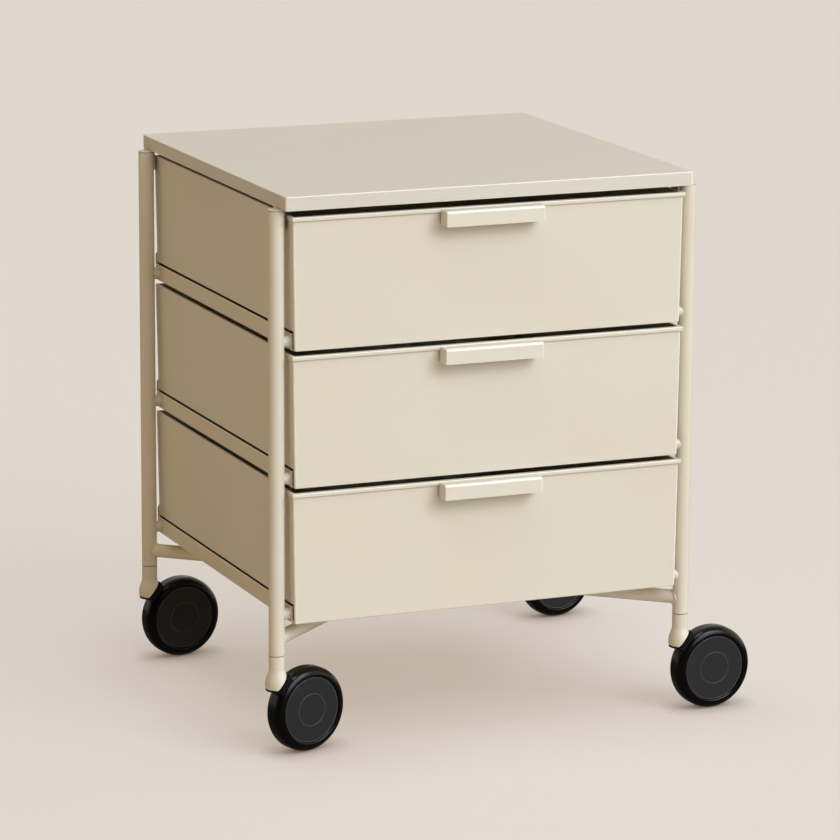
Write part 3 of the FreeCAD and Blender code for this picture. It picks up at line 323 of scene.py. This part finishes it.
def mark_edges(piece, boxy):
    """Marks every rounded edge for the painted edge highlight: what the bevel made, and on boxy pieces what
    slants.
    """
    mesh = piece.data
    mask = mesh.attributes.new(EDGE_ATTRIBUTE, "FLOAT", "FACE")
    for face in mesh.polygons:
        slanted = boxy and max(abs(part) for part in face.normal) < SLANT
        mask.data[face.index].value = 1.0 if slanted or face.material_index == 1 else 0.0
        face.material_index = 0


def even_shading(piece, angle=SHARP_ANGLE):
    """Curves shade smooth and flats stay flat."""
    only(piece)
    bpy.ops.object.shade_smooth_by_angle(angle=math.radians(angle))
    weights = piece.modifiers.new("even_shading", "WEIGHTED_NORMAL")
    weights.keep_sharp = True
    weights.weight = 90
    apply_modifiers(piece)


def settle(piece, body, slot):
    """Gives a finished piece its body and the finish of the slot named."""
    piece.data.materials.clear()
    piece.data.materials.append(FINISHES[slot])
    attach(piece, body)


# The frame's own skins, joined and with their edges broken

EDGE_WIDTHS = {
    "drawer_tub": 0.6 * MM,
    "drawer_handle": 0.4 * MM,
    "rail_left": 0.4 * MM,
    "rail_right": 0.4 * MM,
    "rail_spacers": 0.5 * MM,
    "lid_brackets": 0.4 * MM,
    "post_caps": 0.3 * MM,
    "castor_shoe": 0.45 * MM,
    "castor_guard": 0.35 * MM,
    "castor_hub": 0.4 * MM,
    "castor_cover": 0.3 * MM,
    "screws": 0.3 * MM,
    "castor_axle": 0.3 * MM,
    "front_pads": 0.4 * MM,
    "drawer_runners": 0.4 * MM,
}
BOXY = ("lid", "drawer_tub", "drawer_handle", "rail_left", "rail_right", "lid_brackets")
JOIN_DISTANCE = 0.000001
FLAT_ANGLE = 0.1


def finish_skin(name):
    """A node's surface as one joined mesh with rounded edges, in place of the node."""
    source = nodes[name]
    piece = add_object(name + "_skin", source.data.copy())
    piece.data.materials.append(FINISHES[slot_of[name]])     # a second slot, which marks what the bevel makes
    only(piece)
    bpy.ops.mesh.customdata_custom_splitnormals_clear()
    bpy.ops.object.mode_set(mode="EDIT")
    bpy.ops.mesh.select_all(action="SELECT")
    bpy.ops.mesh.remove_doubles(threshold=JOIN_DISTANCE)
    bpy.ops.mesh.dissolve_limited(angle_limit=math.radians(FLAT_ANGLE))
    bpy.ops.object.mode_set(mode="OBJECT")
    for part, width in EDGE_WIDTHS.items():
        if part in name:
            broken_edges(piece, width)
    mark_edges(piece, any(part in name and "screws" not in name for part in BOXY))
    even_shading(piece)
    settle(piece, source["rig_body"], slot_of[name])
    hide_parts(name)


for name in sorted(nodes):
    finish_skin(name)


# Pieces that the frame doesn't have, with their sizes in millimetres

def own(x, y, z):
    """A point given in millimetres from the cabinet's own middle on the floor."""
    return middle + Vector((x, y, z)) * MM


def start_piece(name):
    """Names the primitive just added and puts its place into its mesh."""
    piece = bpy.context.object
    piece.name = name
    piece.data.name = name
    only(piece)
    bpy.ops.object.transform_apply(location=True, rotation=True, scale=True)
    return piece


def put(piece, at, heading):
    """Turns a finished mesh about the vertical to a heading and moves it to its place."""
    piece.data.transform(Matrix.Translation(at) @ Matrix.Rotation(heading, 4, "Z"))


# Weld beads on the brace tubes

POST_X, POST_Y = 248.5, 216
POST_RADIUS = 9
BRACE_RADIUS = 8
BRACE_Z = 135
BEAD_RING = BRACE_RADIUS + 0.3
BEAD_RADIUS = 1.2
BEAD_SEGMENTS = 40
RIPPLE = 0.16
RIPPLE_COUNT = 9
ROUND_ANGLE = 60        # beads shade smooth up to this angle
RING_SIDES = 10         # sides of a bead's section


def weld_bead(name, meets):
    """A ring of weld round a brace tube's end, along X, pushed out to the surface that the tube meets."""
    bpy.ops.object.select_all(action="DESELECT")
    bpy.ops.mesh.primitive_torus_add(
        major_radius=BEAD_RING * MM, minor_radius=BEAD_RADIUS * MM, major_segments=BEAD_SEGMENTS,
        minor_segments=RING_SIDES, rotation=(0, math.pi / 2, 0))
    bead = start_piece(name)
    bpy.ops.object.mode_set(mode="EDIT")
    for step in range(BEAD_SEGMENTS):
        angle = 2 * math.pi * step / BEAD_SEGMENTS
        bpy.ops.mesh.select_all(action="DESELECT")
        mesh = bmesh.from_edit_mesh(bead.data)
        for vertex in mesh.verts:
            turn = math.atan2(vertex.co.z, vertex.co.y) - angle
            vertex.select = abs(math.remainder(turn, 2 * math.pi)) < 0.5 * math.pi / BEAD_SEGMENTS
        mesh.select_flush_mode()
        bmesh.update_edit_mesh(bead.data)
        push = meets(BEAD_RING * math.cos(angle), BEAD_RING * math.sin(angle))
        push += RIPPLE * math.sin(RIPPLE_COUNT * angle)
        bpy.ops.transform.translate(value=(push * MM, 0, 0))
    bpy.ops.object.mode_set(mode="OBJECT")
    return bead


def place_weld(bead, name, at, heading):
    """A copy of a bead, pushed out towards its heading from the axis that it is put on."""
    weld = add_object(name, bead.data.copy())
    put(weld, at, heading)
    even_shading(weld, ROUND_ANGLE)
    settle(weld, "cabinet_frame", "frame_paint")


def make_welds():
    """Beads at the brace tubes' four ends, and where the two short tubes meet the long one."""
    diagonal = math.atan2(POST_Y, POST_X)
    lean = math.cos(2 * diagonal)
    square = math.sin(2 * diagonal)

    def to_post(across, up):
        return math.sqrt(max(POST_RADIUS ** 2 - across ** 2, 0))

    def to_long_tube(across, up):
        return (math.sqrt(max(BRACE_RADIUS ** 2 - up ** 2, 0)) + lean * across) / square

    post_bead = weld_bead("weld_bead_post", to_post)
    cross_bead = weld_bead("weld_bead_cross", to_long_tube)
    for corner, (side, end) in CORNERS.items():
        place_weld(post_bead, "brace_weld_" + corner, own(side * POST_X, end * POST_Y, BRACE_Z),
                   math.atan2(-end * POST_Y, -side * POST_X))
    for corner, (side, end) in CORNERS.items():
        if side * end < 0:
            place_weld(cross_bead, "cross_weld_" + corner, own(0, 0, BRACE_Z),
                       math.atan2(end * POST_Y, side * POST_X))
    for bead in (post_bead, cross_bead):
        bpy.data.objects.remove(bead)


make_welds()


# Dark strips on the rails, as painted shade in the gaps between rails and drawers

RAIL_HEIGHT = 19
SHADE_STRIP_INNER, SHADE_STRIP_OUTER = 221.2, 232.6
SHADE_STRIP_FRONT, SHADE_STRIP_REAR = -191.5, 223.5
SHADE_STRIP_THICKNESS = 0.35
SHADE_STRIP_EDGE = 0.12


def make_shade_strips():
    """A dark strip on top of each rail, between rail and drawer, as painted shade in that gap."""
    bpy.ops.object.select_all(action="DESELECT")
    size = (SHADE_STRIP_OUTER - SHADE_STRIP_INNER, SHADE_STRIP_REAR - SHADE_STRIP_FRONT, SHADE_STRIP_THICKNESS)
    bpy.ops.mesh.primitive_cube_add(size=1, scale=[part * MM for part in size])
    shade_strip_template = start_piece("rail_shade_strip")
    edges = shade_strip_template.modifiers.new("shade_strip_edges", "BEVEL")
    edges.width = SHADE_STRIP_EDGE * MM
    edges.segments = BEVEL_SEGMENTS
    apply_modifiers(shade_strip_template)
    for level in LEVELS:
        for side_name, side in SIDES.items():
            rail_low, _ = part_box(f"rail_{side_name}_{level}")
            strip = add_object(f"rail_shade_strip_{side_name}_{level}", shade_strip_template.data.copy())
            height = rail_low.z / MM + RAIL_HEIGHT + SHADE_STRIP_THICKNESS / 2
            put(strip, own(side * (SHADE_STRIP_INNER + SHADE_STRIP_OUTER) / 2, (SHADE_STRIP_FRONT + SHADE_STRIP_REAR) / 2, height), 0)
            even_shading(strip)
            settle(strip, "cabinet_frame", "slide_nylon")
    bpy.data.objects.remove(shade_strip_template)


make_shade_strips()


# Mould beads on the wheel covers, in the painted edge highlight's colour

# Name, radius, thickness, and how far out of the cover's face the bead's middle lies
COVER_RINGS = (("cover_bead_", 18.5, 0.36, 0.02), ("rim_bead_", 36.9, 0.5, -0.55))
RING_SEGMENTS = 128
FACES_OUT = 0.9         # least share of a face's normal that points out of the cover
SQUARE_ON = 0.9999
FACE_DEPTH = 0.1


def box_middle(name):
    low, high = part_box(name)
    return (low + high) / 2


def disc_face(corner):
    """Middle and outward direction of a wheel cover's visible face."""
    node = nodes["castor_cover_" + corner]
    outward = (box_middle("castor_cover_" + corner) - box_middle("castor_hub_" + corner)).normalized()
    facing = [face for face in node.data.polygons if face.normal.dot(outward) > FACES_OUT]
    along = max(facing, key=lambda face: face.area).normal.copy()
    flat = [face for face in facing if face.normal.dot(along) > SQUARE_ON]
    reach = max(face.center.dot(along) for face in flat)
    flat = [face for face in flat if face.center.dot(along) > reach - FACE_DEPTH * MM]
    total = sum(face.area for face in flat)
    centre = sum((face.center * face.area for face in flat), Vector()) / total
    return centre, along


def cover_ring(name, centre, along, radius, thickness):
    """A fine moulded bead round the wheel's axis, all of it marked as a rounded edge, so that all of it takes
    the painted edge highlight.
    """
    bpy.ops.object.select_all(action="DESELECT")
    bpy.ops.mesh.primitive_torus_add(
        major_radius=radius * MM, minor_radius=thickness * MM, major_segments=RING_SEGMENTS,
        minor_segments=RING_SIDES, location=centre, rotation=along.to_track_quat("Z", "Y").to_euler())
    ring = start_piece(name)
    mask = ring.data.attributes.new(EDGE_ATTRIBUTE, "FLOAT", "FACE")
    for entry in mask.data:
        entry.value = 1.0
    return ring


def make_cover_rings():
    for corner in CORNERS:
        centre, along = disc_face(corner)
        body = nodes["castor_cover_" + corner]["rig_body"]
        for name, radius, thickness, out in COVER_RINGS:
            ring = cover_ring(name + corner, centre + along * out * MM, along, radius, thickness)
            even_shading(ring, ROUND_ANGLE)
            settle(ring, body, "cover_nylon")


make_cover_rings()


# Floor

BACKDROP = srgb(223, 216, 209)
FLOOR = srgb(222, 213, 204)
FLOOR_SIZE = 80
FLOOR_MIDDLE = (0, 10, 0)
FLOOR_ROUGHNESS = 0.85
FLOOR_SPECULAR = 0.1
BACKDROP_SHARE = 0.68        # how much of the floor's look is the backdrop's own even tone
BACKDROP_LIFT = 1.09
# Painted shadow on the floor: broad under the cabinet, darker where the wheels touch
CONTACT_REACH = 0.22
CONTACT_SHADOW_TONE = (0.66, 0.55, 0.46, 1)
TOUCH_REACH = 0.03
TOUCH_SHADOW_TONE = (0.30, 0.25, 0.22, 1)
FLOOR_SAMPLES = 8
# The floor as gloss mirrors it: a painted dark reflection, not its lit tone
FLOOR_MIRRORED = (0.10, 0.095, 0.09, 1)


def glow(tree, colour, strength=1.0):
    node = tree.nodes.new("ShaderNodeEmission")
    feed(node.inputs["Color"], colour)
    feed(node.inputs["Strength"], strength)
    return node.outputs["Emission"]


def mix_shaders(tree, factor, first, second):
    node = tree.nodes.new("ShaderNodeMixShader")
    for entry, value in zip(node.inputs, (factor, first, second)):
        feed(entry, value)
    return node.outputs["Shader"]


def make_floor():
    """A pale floor that runs out into the backdrop, darkens with painted shadow where the cabinet is near,
    and shows in gloss as a painted dark reflection.
    """
    bpy.ops.object.select_all(action="DESELECT")
    bpy.ops.mesh.primitive_plane_add(size=FLOOR_SIZE, location=FLOOR_MIDDLE)
    floor = bpy.context.object
    floor.name = "floor"
    material = bpy.data.materials.new("studio_floor")
    material.use_nodes = True
    tree = material.node_tree
    shader = tree.nodes["Principled BSDF"]
    shader.inputs["Base Color"].default_value = FLOOR
    shader.inputs["Roughness"].default_value = FLOOR_ROUGHNESS
    shader.inputs["Specular IOR Level"].default_value = FLOOR_SPECULAR
    # painted shadow: the floor's even tone darkens near the cabinet and more at the wheels
    shaded = tuple(plain * near for plain, near in zip(BACKDROP, CONTACT_SHADOW_TONE))
    contact_shadow = blend(tree, openness(tree, CONTACT_REACH, FLOOR_SAMPLES), shaded, BACKDROP)
    touch_shadow = blend(tree, openness(tree, TOUCH_REACH, FLOOR_SAMPLES), TOUCH_SHADOW_TONE, WHITE)
    tone = blend(tree, 1, contact_shadow, touch_shadow, "MULTIPLY")
    rays = tree.nodes.new("ShaderNodeLightPath").outputs
    share = maths(tree, "MULTIPLY", rays["Is Camera Ray"], BACKDROP_SHARE)
    seen = mix_shaders(tree, share, shader.outputs["BSDF"], glow(tree, tone, BACKDROP_LIFT))
    # glossy surfaces see the floor as a painted dark reflection
    surface = mix_shaders(tree, rays["Is Glossy Ray"], seen, glow(tree, FLOOR_MIRRORED))
    feed(tree.nodes["Material Output"].inputs["Surface"], surface)
    floor.data.materials.append(material)


make_floor()


# Light: a broad soft key from the front right, a soft light overhead, a lamp near the front and a warm fill

NEAR_PLACE = Vector((0.9, -1.5, 1.5))        # from the cabinet's middle on the floor
NEAR_AIM = Vector((0, 0, 0.45))
SUN_DISTANCE = 3


def hang_lamp(data, place, heading):
    """Puts a light at its place and turns it to shine along its heading."""
    lamp = add_object(data.name, data)
    lamp.location = place
    lamp.rotation_euler = heading.to_track_quat("-Z", "Y").to_euler()


def distant_light(name, source, strength, colour, width):
    """A light from far off; source is the direction that it comes from and width its angle in degrees."""
    data = bpy.data.lights.new(name, "SUN")
    data.energy = strength
    data.color = colour
    data.angle = math.radians(width)
    hang_lamp(data, Vector(source) * SUN_DISTANCE, -Vector(source))


def near_light(name, strength, colour, width):
    """A round soft lamp at the front right, which makes what is near it a little brighter."""
    data = bpy.data.lights.new(name, "AREA")
    data.energy = strength
    data.color = colour
    data.shape = "DISK"
    data.size = width
    hang_lamp(data, middle + NEAR_PLACE, NEAR_AIM - NEAR_PLACE)


distant_light("key_light", source=(0.36, -0.74, 0.55), strength=1.98, colour=(0.82, 0.92, 1.03), width=46)
distant_light("top_light", source=(-0.10, -0.25, 0.96), strength=0.5, colour=(0.95, 0.97, 1.0), width=18)
near_light("near_light", strength=5.0, colour=(0.86, 0.96, 1.05), width=0.6)

FILL_WARM = (0.365, 0.236, 0.068, 1)
FILL_PLAIN = (0.33, 0.29, 0.225, 1)
GLOSS_DARK = (0.04, 0.036, 0.032, 1)
RIGHT_WALL = (1.25, 1.15, 0.98, 1)
# Where each tone gives way to the next, as the direction's part along X or Y
WARM_RANGE = (0.1, -0.7)
WALL_RANGE = (0.55, 0.9)
WALL_MIRRORED_RANGE = (0.6, 0.9)
BACK_MIRRORED_RANGE = (-0.3, 0.5)


def make_world():
    """What lights the cabinet, what its gloss mirrors, and what the camera sees behind it."""
    world = bpy.data.worlds.new("studio")
    bpy.context.scene.world = world
    world.use_nodes = True
    tree = world.node_tree
    place = tree.nodes.new("ShaderNodeTexCoord")
    parts = tree.nodes.new("ShaderNodeSeparateXYZ")
    feed(parts.inputs["Vector"], place.outputs["Generated"])
    rightwards = parts.outputs["X"]
    backwards = parts.outputs["Y"]
    fill = blend(tree, spread(tree, rightwards, *WARM_RANGE, smooth=True), FILL_PLAIN, FILL_WARM)
    fill = blend(tree, spread(tree, rightwards, *WALL_RANGE, smooth=True), fill, RIGHT_WALL)
    mirrored = blend(tree, spread(tree, backwards, *BACK_MIRRORED_RANGE, smooth=True), GLOSS_DARK, BACKDROP)
    mirrored = blend(tree, spread(tree, rightwards, *WALL_MIRRORED_RANGE, smooth=True), mirrored, RIGHT_WALL)
    rays = tree.nodes.new("ShaderNodeLightPath").outputs
    glossy = maths(tree, "MAXIMUM", rays["Is Glossy Ray"], rays["Is Transmission Ray"])
    lit = blend(tree, glossy, fill, mirrored)
    shown = blend(tree, rays["Is Camera Ray"], lit, BACKDROP)
    feed(tree.nodes["Background"].inputs["Color"], shown)


make_world()


# Camera at the photograph's angle, fitted to its edges

AZIMUTH, ELEVATION, ROLL = math.radians(22.57), math.radians(12.58), math.radians(0.29)
FOCAL_PIXELS = 4384.94
DISTANCE = 5.11663
FRAME_PIXELS = 840
AIM_PIXEL = (410.39, 419.35)     # where the middle of the object's height falls in the picture
AIM_HEIGHT = 0.320
FAR_LIMIT = 100

forward = Vector((math.sin(AZIMUTH) * math.cos(ELEVATION), math.cos(AZIMUTH) * math.cos(ELEVATION),
                  -math.sin(ELEVATION)))
level_right = Vector((math.cos(AZIMUTH), -math.sin(AZIMUTH), 0))
level_up = level_right.cross(forward)
right = level_right * math.cos(ROLL) + level_up * math.sin(ROLL)
up = level_up * math.cos(ROLL) - level_right * math.sin(ROLL)
offset = (right * (AIM_PIXEL[0] - FRAME_PIXELS / 2) - up * (AIM_PIXEL[1] - FRAME_PIXELS / 2)) / FOCAL_PIXELS
camera_data = bpy.data.cameras.new("camera")
camera_data.lens = FOCAL_PIXELS * camera_data.sensor_width / FRAME_PIXELS
camera_data.clip_end = FAR_LIMIT
camera = add_object("camera", camera_data)
turned = Matrix((right, up, -forward)).transposed()
camera.matrix_world = Matrix.Translation(
    middle + Vector((0, 0, AIM_HEIGHT)) - (forward + offset) * DISTANCE) @ turned.to_4x4()
bpy.context.scene.camera = camera
bpy.context.scene.view_settings.view_transform = "Standard"
